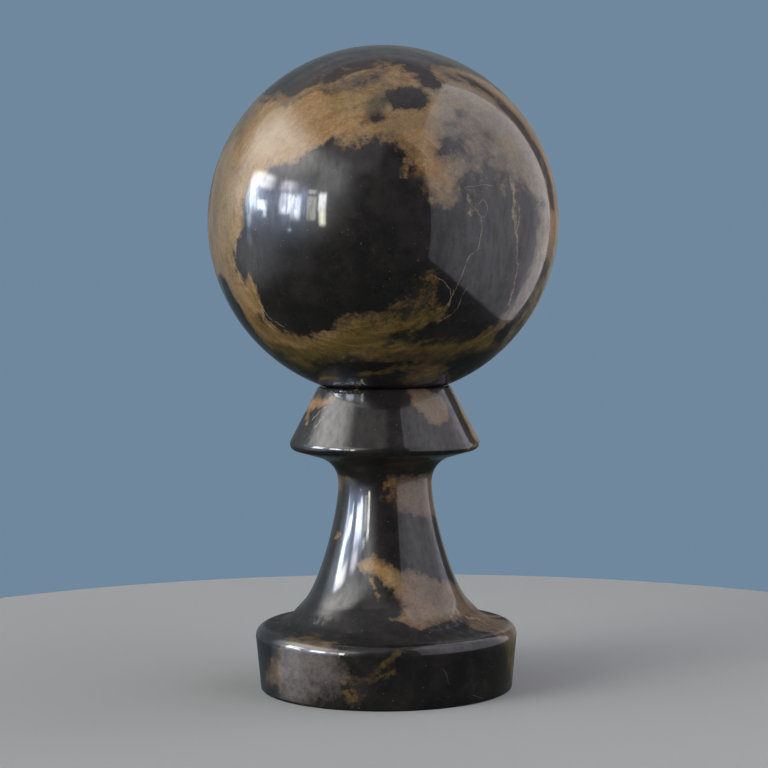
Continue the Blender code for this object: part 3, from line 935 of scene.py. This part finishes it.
def cloud_edge_group():
    """Where the clouds cover the black. The signed distance is roughened by wide and fine noise
    in proportion to the edge's softness and by streaks along the flow, then eased from 0 to 1
    across the edge: that is the mask. The veil and a mottle thin it: that is the cover."""
    g, i, out = new_group("Cloud Edge", (
        "Position", "Distance", "Softness", "Flow", "Streaks", "Veil", "Specks",
    ), ("Mask", "Cover", "Streak"))
    position = i["Position"]
    wide = swing(position, 105, 3, 0.55)
    fine = swing(position, 330, 9, 0.68, 0.15)
    rough = times(fine, scaled(i["Softness"], 7.0, 2.0))
    rough = scaled(wide, 5.0, rough)
    streak = grain(i["Flow"], 0.30, 8, 0.66, 1.0)
    combed = times(less(streak, 0.5), times(i["Streaks"], 9.0))
    total = calc("ADD", calc("ADD", i["Distance"], rough), combed)
    share = calc("DIVIDE", total, scaled(i["Softness"], 0.85, 0.10))
    mask = ease(share, -1.0, 1.0)
    mottle = swing(position, 150, 9, 0.70, 0.4)
    thin = scaled(mottle, scaled(i["Veil"], 3.6, 1.5), i["Veil"])
    gaps = times(times(i["Streaks"], i["Streaks"]), less(0.55, streak))
    thin = scaled(gaps, 3.0, thin)
    dots = ease(grain(position, 300, 9, 0.78, 0.4), 0.46, 0.56)
    thin = scaled(dots, i["Specks"], thin, clamp=True)
    cover = times(times(mask, scaled(thin, -0.95, 1.0)),
                  ease(share, -0.5, 4.0, 0.45, 1.0))
    for key, value in (("Mask", mask), ("Cover", cover), ("Streak", streak)):
        feed(out[key], value)
    return g


def vein_group():
    """Mask of thin lines: full at the line, none past its width, broken up by noise."""
    g, i, out = new_group("Vein Line", ("Position", "Vein Distance", "Nearness"), ("Mask",))
    position = i["Position"]
    moved = scaled(swing(position, 420, 6, 0.7), 9.0, i["Vein Distance"])
    line = ease(size_of(moved), 1.6, 0.2)
    broken = ease(grain(position, 240, 5, 0.65), 0.36, 0.56)
    kept = times(line, ease(i["Nearness"], 0.35, 0.7, 0.0, 0.65))
    feed(out["Mask"], times(kept, broken))
    return g


def cloud_tint_group():
    """Colour of the clouds: ochre mottled with tan, crossed by hairlines where a noise passes
    its middle value, shaded with smoke, rust and an olive tint whose colour is darkened as painted shade
    low on the ball."""
    g, i, out = new_group("Cloud Tint", (
        "Position", "Ochre", "Tan", "Rust", "Smoke", "Ash", "Olive_And_Shade", "Rust Amount",
        "Smoke Amount", "Ash Amount", "Moss Amount", "Streak",
    ), ("Color",))
    position = i["Position"]
    broad = grain(position, 55, 4, 0.6)
    mottle = grain(position, 230, 9, 0.72, 0.5)
    swirl = scaled(mottle, 0.5, times(i["Streak"], 0.5))
    hairline = size_of(swing(position, 85, 6, 0.62, 1.2))
    shade = scaled(swirl, 2.8, less(i["Smoke Amount"], 1.50))
    shade = calc("ADD", shade, less(broad, 0.5), clamp=True)
    base = blend(ease(swirl, 0.42, 0.60), i["Ochre"], i["Tan"])
    for share, tint in (
        (times(i["Rust Amount"], ease(broad, 0.30, 0.58)), "Rust"),
        (times(i["Ash Amount"], ease(swirl, 0.36, 0.52, 0.7, 1.0)), "Ash"),
        (ease(hairline, 0.010, 0.001, 0.0, 0.55), "Smoke"),
        (times(shade, 0.9), "Smoke"),
        # Olive streaks, in the olive darkened as painted shade low on the ball
        (times(i["Moss Amount"], ease(i["Streak"], 0.66, 0.40, 0.7, 1.0)), "Olive_And_Shade"),
    ):
        base = blend(share, base, i[tint])
    dust = scaled(grain(position, 1100, 4, 0.75), 1.4, 0.30)
    dusty = new_node(g, "VectorMath", {0: base, "Scale": dust}, operation="SCALE")
    feed(out["Color"], dusty.outputs[0])
    return g


def black_stone_group():
    """Colour of the ground: black with a brown haze, faint hairlines, and pale specks, each a
    dot at a random place kept only where its cell's random number is high."""
    g, i, out = new_group("Black Stone", ("Position", "Black", "Haze", "Speck"), ("Color",))
    position = i["Position"]
    haze = ease(grain(position, 75, 7, 0.68), 0.42, 0.68)
    ground = blend(haze, i["Black"], i["Haze"])
    middle = size_of(swing(position, 48, 7, 0.62, 1.0))
    patchy = ease(grain(position, 30, 3, 0.5), 0.46, 0.60)
    hairline = times(ease(middle, 0.006, 0.001, 0.0, 0.08), patchy)
    ground = blend(hairline, ground, i["Speck"])
    for scale, low, share in ((900, 0.54, 0.9), (240, 0.50, 0.6)):
        dust = ease(grain(position, scale, 6, 0.75, 0.6), low, low + 0.17, 0.0, share)
        ground = blend(dust, ground, i["Haze"])
    kept = 0.0
    for scale, size, rarity in ((330.0, 0.18, 0.955), (800.0, 0.24, 0.90)):
        cell = new_node(g, "TexVoronoi", {"Vector": position, "Scale": scale})
        dot = ease(cell.outputs["Distance"], size, size * 0.3)
        chance = new_node(g, "SeparateColor", {0: cell.outputs["Color"]})
        kept = scaled(dot, ease(chance.outputs[0], rarity, 1.0), kept)
    feed(out["Color"], blend(times(kept, 0.50), ground, i["Speck"]))
    return g


def polish_group():
    """Roughness of the stone under its gloss, duller in faint smears and, in patches of wiping
    marks, where worn; the gloss, missing in pits, along scratches, in smudges and where worn;
    and the height of the pits."""
    g, i, out = new_group("Polish", ("Position", "Clouds", "Worn"),
                          ("Roughness", "Gloss", "Height"))
    position = i["Position"]
    wiped = stretched(position, 420.0, 420.0, 90.0)
    patchy = ease(grain(wiped, 1.0, 7, 0.78), 0.40, 0.60, 0.25, 1.15)
    worn = times(i["Worn"], patchy, clamp=True)
    smear = ease(grain(position, 38, 5, 0.65, 0.6), 0.35, 0.70)
    rough = scaled(smear, 0.08, 0.27)
    rough = scaled(i["Clouds"], 0.05, rough)
    rough = scaled(worn, 0.35, rough)
    pits = ease(grain(position, 760, 4, 0.65, 1.2), 0.26, 0.36)
    scratch = swing(stretched(position, 260.0, 60.0, 900.0), 1.0, 2, 0.5, 0.8)
    gloss = times(scaled(pits, 0.07, 0.93),
                  ease(size_of(scratch), 0.001, 0.006, 0.85, 1.0))
    smudge = ease(grain(wiped, 1.0, 7, 0.72), 0.42, 0.62, 0.0, 0.34)
    gloss = times(gloss, less(1.0, smudge))
    gloss = times(gloss, scaled(smear, -0.10, 1.0))
    gloss = times(gloss, scaled(worn, -0.85, 1.0, clamp=True))
    for key, value in (("Roughness", rough), ("Gloss", gloss), ("Height", pits)):
        feed(out[key], value)
    return g


GROUPS = {"Cloud Edge": cloud_edge_group, "Vein Line": vein_group,
          "Cloud Tint": cloud_tint_group, "Black Stone": black_stone_group,
          "Polish": polish_group}


def stone_material(name, colours, ash):
    """Polished stone: the black ground, the clouds over it by their cover, the veins over both,
    on one Principled surface whose coat is the sharp gloss over a softer sheen. ash names the
    setting that tints the clouds grey. Each group is built the first time that it is used."""
    old = bpy.data.materials.get(name)
    if old:
        bpy.data.materials.remove(old)
    material = bpy.data.materials.new(name)
    material.use_nodes = True
    tree = material.node_tree
    shader = tree.nodes["Principled BSDF"]
    values = {key.title(): (*getattr(colours, key), 1.0) for key in StoneSettings.__annotations__}
    values["Ash"], values["Speck"] = values[ash.title()], values["Vein"]
    values["Position"] = new_node(tree, "TexCoord").outputs["Object"]
    for field, label in FIELDS.items():
        node = new_node(tree, "Attribute", attribute_name=field)
        values[label] = node.outputs["Vector" if field == "flow" else "Fac"]

    def use_group(label):
        node = tree.nodes.new("ShaderNodeGroup")
        node.node_tree = bpy.data.node_groups.get(label) or GROUPS[label]()
        for socket in node.inputs:
            feed(socket, values[socket.name])
        return node.outputs

    edge = use_group("Cloud Edge")
    values["Streak"], values["Clouds"] = edge["Streak"], edge["Mask"]
    polish = use_group("Polish")
    both = blend(edge["Cover"], use_group("Black Stone")["Color"],
                 use_group("Cloud Tint")["Color"])
    veined = blend(use_group("Vein Line")["Mask"], both, values["Vein"])
    bump = new_node(tree, "Bump", {
        "Strength": PIT_STRENGTH, "Distance": PIT_DEPTH, "Height": polish["Height"]})
    for key, value in (
        ("Base Color", veined), ("Roughness", polish["Roughness"]),
        ("Coat Weight", polish["Gloss"]), ("Normal", bump.outputs[0]), ("IOR", SHEEN_IOR),
        ("Coat IOR", GLOSS_IOR), ("Coat Roughness", GLOSS_ROUGHNESS),
    ):
        feed(shader.inputs[key], value)
    return material


# --- Stage ---


def stage_floor(s):
    """A round pale table top: a disc whose rim is a small quarter circle."""
    rim, depth, columns = 4 * MM, 30 * MM, 160
    outline = np.concatenate([
        [(0.0, -depth), (s.floor_radius - rim, -depth), (s.floor_radius, rim - depth)],
        arc((s.floor_radius - rim, -rim), rim, 0, pi / 2, 8),
        [(s.floor_radius * 0.5, 0.0), (0.0, 0.0)],
    ])
    floor = put_in_scene("floor", turned_mesh("floor", turned_points(outline, columns), columns))
    material = bpy.data.materials.new("pale_floor")
    material.use_nodes = True
    shader = material.node_tree.nodes["Principled BSDF"]
    shader.inputs["Base Color"].default_value = (*s.floor, 1.0)
    shader.inputs["Roughness"].default_value = 0.8
    floor.data.materials.append(material)
    floor.visible_glossy = False


def studio_world(s):
    """The backdrop that the camera sees, and for all other rays a dim room: dark below the
    floor's level, darker towards the front than behind, with a pale ceiling overhead, a dark
    rail high up behind, faint level bands on the back wall and a dark corner on the right."""
    world = bpy.data.worlds.new("studio")
    bpy.context.scene.world = world
    world.use_nodes = True
    w = world.node_tree
    w.nodes.clear()
    way = new_node(w, "SeparateXYZ", {0: new_node(w, "TexCoord").outputs["Generated"]})
    east, north, up = way.outputs
    back = ease(north, -0.7, 0.8)
    right = ease(east, -0.3, 0.7)
    behind = blend(right, (0.170, 0.212, 0.240, 1), (0.36, 0.35, 0.32, 1))
    wall = blend(back, (0.040, 0.043, 0.046, 1), behind)
    rail = ease(size_of(less(up, 0.86)), 0.13, 0.04, 0.0, 0.55)
    flat = new_node(w, "CombineXYZ", {0: east, 1: 0.0, 2: times(up, 16.0)})
    bands = ease(grain(flat.outputs[0], 1.0, 3, 0.6), 0.36, 0.64, 0.0, 0.45)
    level = calc("SQRT", less(1.0, times(up, up)))
    corner = ease(calc("DIVIDE", east, level), 0.38, 0.50, 0.0, 0.9)
    corner = times(corner, ease(north, 0.0, 0.3))
    for share, tint in (
        (ease(scaled(ease(north, -0.3, 0.5), 0.20, up), 0.60, 1.10), (0.54, 0.52, 0.55)),
        (times(rail, back), (0.10, 0.09, 0.11)),
        (times(bands, ease(north, 0.3, 0.8)), (0.09, 0.09, 0.09)),
        (times(corner, ease(up, 0.75, 0.55)), (0.045, 0.04, 0.038)),
    ):
        wall = blend(share, wall, (*tint, 1))
    cloth = blend(right, (0.068, 0.090, 0.115, 1), (0.070, 0.078, 0.062, 1))
    below = blend(times(ease(up, -0.50, -0.14), back), (0.022, 0.032, 0.025, 1), cloth)
    room = blend(ease(up, -0.16, -0.11), below, wall)
    seen = new_node(w, "LightPath").outputs["Is Camera Ray"]
    mixed = blend(seen, room, (*s.backdrop, 1))
    background = new_node(w, "Background", {"Color": mixed, "Strength": 1.0})
    new_node(w, "OutputWorld", {"Surface": background.outputs[0]})


def faded_panel(light, fade):
    """Makes a panel light fade out at its borders: brightness rises over this share of its
    width and height from each side. Gives its tree and the places across and up it."""
    light.use_nodes = True
    t = light.node_tree
    place = new_node(t, "SeparateXYZ", {0: new_node(t, "NewGeometry").outputs["Parametric"]})
    across, up = place.outputs[:2]
    shares = [ease(size_of(less(axis, 0.5)), 0.5, 0.5 - fade) for axis in (across, up)]
    feed(t.nodes["Emission"].inputs["Strength"], times(*shares))
    return t, across, up


def add_panel(name, centre, facing, width, height, radiance, tint, fade):
    """A rectangular light of this size in metres, turned to face a point. Its power is its
    radiance times pi times its area."""
    light = bpy.data.lights.new(name, "AREA")
    light.shape = "RECTANGLE"
    light.size, light.size_y = width, height
    light.color = tint
    light.energy = radiance * pi * width * height
    panel = bpy.data.objects.new(name, light)
    bpy.context.scene.collection.objects.link(panel)
    way = (Vector(facing) - Vector(centre)).normalized()
    panel.rotation_euler = way.to_track_quat("-Z", "Y").to_euler()
    panel.location = centre
    return panel, *faded_panel(light, fade)


def side_wall(centre_height):
    """The pale wall that the right side reflects, dimmed towards its front end and in a broad
    band past its middle, with its lower border lifted at the far end, and a larger panel that
    stands in for it where it lights the surface."""
    radiance, fade = 1.30, 0.02
    near, front, back, top = 0.23, -0.435, 0.165, 0.73
    middle = np.array([0.0, (front + back) / 2, top / 2])
    wall, t, across, up = add_panel("side_wall", middle + (near, 0, 0), middle, back - front, top,
                                    radiance, (0.90, 0.885, 0.985), fade)
    wall.visible_diffuse = False
    band = times(ease(across, 0.48, 0.81), ease(across, 0.72, 0.98, 1.0, 0.15))
    border = ease(across, 0.76, 1.12, 0.0, 0.045)
    factor = scaled(band, -0.50, 1.0)
    for share in (
        ease(across, 0.17, 0.46, 0.68, 1.0), ease(less(up, border), 0.0, 0.006),
        ease(up, 0.0, 0.14, 0.78, 1.0),
    ):
        factor = times(factor, share)
    strength = t.nodes["Emission"].inputs["Strength"]
    feed(strength, times(strength.links[0].from_socket, factor))
    far = 1.8
    middle = np.array([0.0, -0.235 * far, centre_height + 0.69 * far])
    fill = add_panel("side_fill", middle + (far, 0, 0), middle, 2.85 * far, 3.12 * far, radiance,
                     (0.90, 0.875, 1.0), fade)[0]
    fill.visible_glossy = False


def studio_lights(centre_height):
    """Every panel stands a little farther off than the one before it, so that no two meet."""
    nearest, step = 3.4, 0.03
    target = np.array([0.0, 0.0, centre_height])
    for row, (name, turn, rise, wide, tall, radiance, tint, fade) in enumerate(PANELS):
        reach = nearest + step * row
        way = on_sphere(np.array([[turn, rise]], float))[0]
        width, height = (2 * reach * tan(radians(span / 2)) for span in (wide, tall))
        panel = add_panel(name, target + way * reach, target, width, height, radiance, tint,
                          fade)[0]
        panel.visible_glossy = name not in LAMPS
        panel.visible_diffuse = name in LAMPS
    side_wall(centre_height)


def studio_camera(s):
    """The camera looks along +Y, tilted down and rolled about its own view line."""
    camera = bpy.data.objects.new("camera", bpy.data.cameras.new("camera"))
    camera.data.lens = s.lens
    camera.data.sensor_width = 36.0
    camera.data.dof.use_dof = False
    tilt = Matrix.Rotation(pi / 2 - s.pitch, 4, "X") @ Matrix.Rotation(-s.roll, 4, "Z")
    camera.matrix_world = Matrix.Translation((-0.15 * MM, -s.distance, s.height)) @ tilt
    bpy.context.scene.collection.objects.link(camera)
    bpy.context.scene.camera = camera


# --- Operators ---


class SPHERE_OT_ball(Operator):
    """Build the polished ball."""

    bl_idname = "stone_sphere.ball"
    bl_label = "Stone Ball"

    def execute(self, context):
        s = context.scene.stone_ball
        rise = np.linspace(-pi / 2, pi / 2, s.rings + 1)
        outline = np.stack([s.radius * np.cos(rise), s.centre + s.radius * np.sin(rise)], 1)
        points = turned_points(outline, s.columns)
        unit = (points - (0, 0, s.centre)) / s.radius
        waves = s.waviness * cloud_noise(unit * s.radius / MM, cell=13, seed=5, octaves=2)
        mesh = turned_mesh("ball_surface", points + unit * waves[:, None], s.columns)
        write_fields(mesh, ball_fields(unit, s.radius / MM))
        ball = put_in_scene("polished_ball", mesh)
        mesh.materials.append(stone_material("ball_polish", context.scene.stone_colours, "ash"))
        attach(ball, "root")
        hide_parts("ball")
        return {"FINISHED"}


class SPHERE_OT_stand(Operator):
    """Build the turned stand."""

    bl_idname = "stone_sphere.stand"
    bl_label = "Turned Stand"

    def execute(self, context):
        s = context.scene.stone_stand
        ball = context.scene.stone_ball
        outline = stand_outline(s)
        total = along(outline)[-1]
        # The rings crowd at the top edge, the shoulder and the collar's rim
        side = respaced(outline, s.rings, [
            (total - 4 * MM, 4 * MM, 2.0), (25 * MM, 5 * MM, 0.6), (133 * MM, 4 * MM, 0.8)])
        foot, under_rings, dish_rings = side[0, 0], 8, 12
        under = np.stack([np.linspace(0, foot, under_rings + 1)[:-1], np.zeros(under_rings)], 1)
        seat_radius = ball.radius + s.gap
        mouth = np.arcsin(s.mouth_radius / seat_radius)
        swung = np.linspace(mouth, 0, dish_rings + 1)[1:]
        dish = np.stack([np.sin(swung), -np.cos(swung)], 1) * seat_radius + (0, ball.centre)
        whole = np.concatenate([under, side, dish])
        run = np.concatenate([under[:, 0] - foot, along(side),
                              total + seat_radius * (mouth - swung)]) / MM
        points = turned_points(whole, s.columns)

        def at_points(rows):
            return np.concatenate([np.repeat(rows[1:-1], s.columns, axis=0), rows[[0, -1]]])

        turn = np.degrees(np.arctan2(points[:, 0], -points[:, 1]))
        runs = at_points(run)
        worn = chip_depth(points / MM, turn, runs) * MM
        slope = np.gradient(whole, axis=0)
        normal = np.stack([slope[:, 1], -slope[:, 0]], 1)
        out = at_points(normal / np.linalg.norm(normal, axis=1)[:, None])
        radial = np.stack([np.sin(np.radians(turn)), -np.cos(np.radians(turn))], 1)
        push = np.concatenate([radial * out[:, :1], out[:, 1:]], 1) * worn[:, None]
        mesh = turned_mesh("stand_surface", points - push, s.columns)
        write_fields(mesh, stand_fields(points / MM, turn, runs, side / MM,
                                        np.clip(worn / WORN_DULL, 0, 1)))
        stand = put_in_scene("turned_stand", mesh)
        mesh.materials.append(stone_material("stand_polish", context.scene.stone_colours, "slate"))
        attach(stand, "root")
        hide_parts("stand")
        return {"FINISHED"}


class SPHERE_OT_stage(Operator):
    """Set up the floor, the backdrop, the lights and the camera."""

    bl_idname = "stone_sphere.stage"
    bl_label = "Studio Stage"

    def execute(self, context):
        s = context.scene.stone_stage
        stage_floor(s)
        studio_world(s)
        studio_lights(context.scene.stone_ball.centre)
        studio_camera(s)
        context.scene.view_settings.view_transform = "Standard"
        return {"FINISHED"}


class SPHERE_PT_panel(Panel):
    """Sidebar panel with the operators and their settings."""

    bl_label = "Stone Sphere"
    bl_idname = "SPHERE_PT_panel"
    bl_space_type = "VIEW_3D"
    bl_region_type = "UI"
    bl_category = "Stone Sphere"

    def draw(self, context):
        layout = self.layout
        for operator, settings in (
            (SPHERE_OT_ball, context.scene.stone_ball),
            (SPHERE_OT_stand, context.scene.stone_stand),
            (SPHERE_OT_stage, context.scene.stone_stage),
        ):
            box = layout.box()
            box.operator(operator.bl_idname)
            for key in settings.bl_rna.properties.keys():
                if key not in {"rna_type", "name"}:
                    box.prop(settings, key)
        for key in StoneSettings.__annotations__:
            layout.prop(context.scene.stone_colours, key)


CLASSES = (BallSettings, StandSettings, StoneSettings, StageSettings, SPHERE_OT_ball,
           SPHERE_OT_stand, SPHERE_OT_stage, SPHERE_PT_panel)
SETTINGS = {"stone_ball": BallSettings, "stone_stand": StandSettings,
            "stone_colours": StoneSettings, "stone_stage": StageSettings}


def register():
    for item in CLASSES:
        bpy.utils.register_class(item)
    for name, item in SETTINGS.items():
        setattr(bpy.types.Scene, name, PointerProperty(type=item))


def unregister():
    for name in SETTINGS:
        delattr(bpy.types.Scene, name)
    for item in reversed(CLASSES):
        bpy.utils.unregister_class(item)


def main():
    register()
    bpy.ops.stone_sphere.ball()
    bpy.ops.stone_sphere.stand()
    bpy.ops.stone_sphere.stage()


if __name__ == "__main__":
    main()
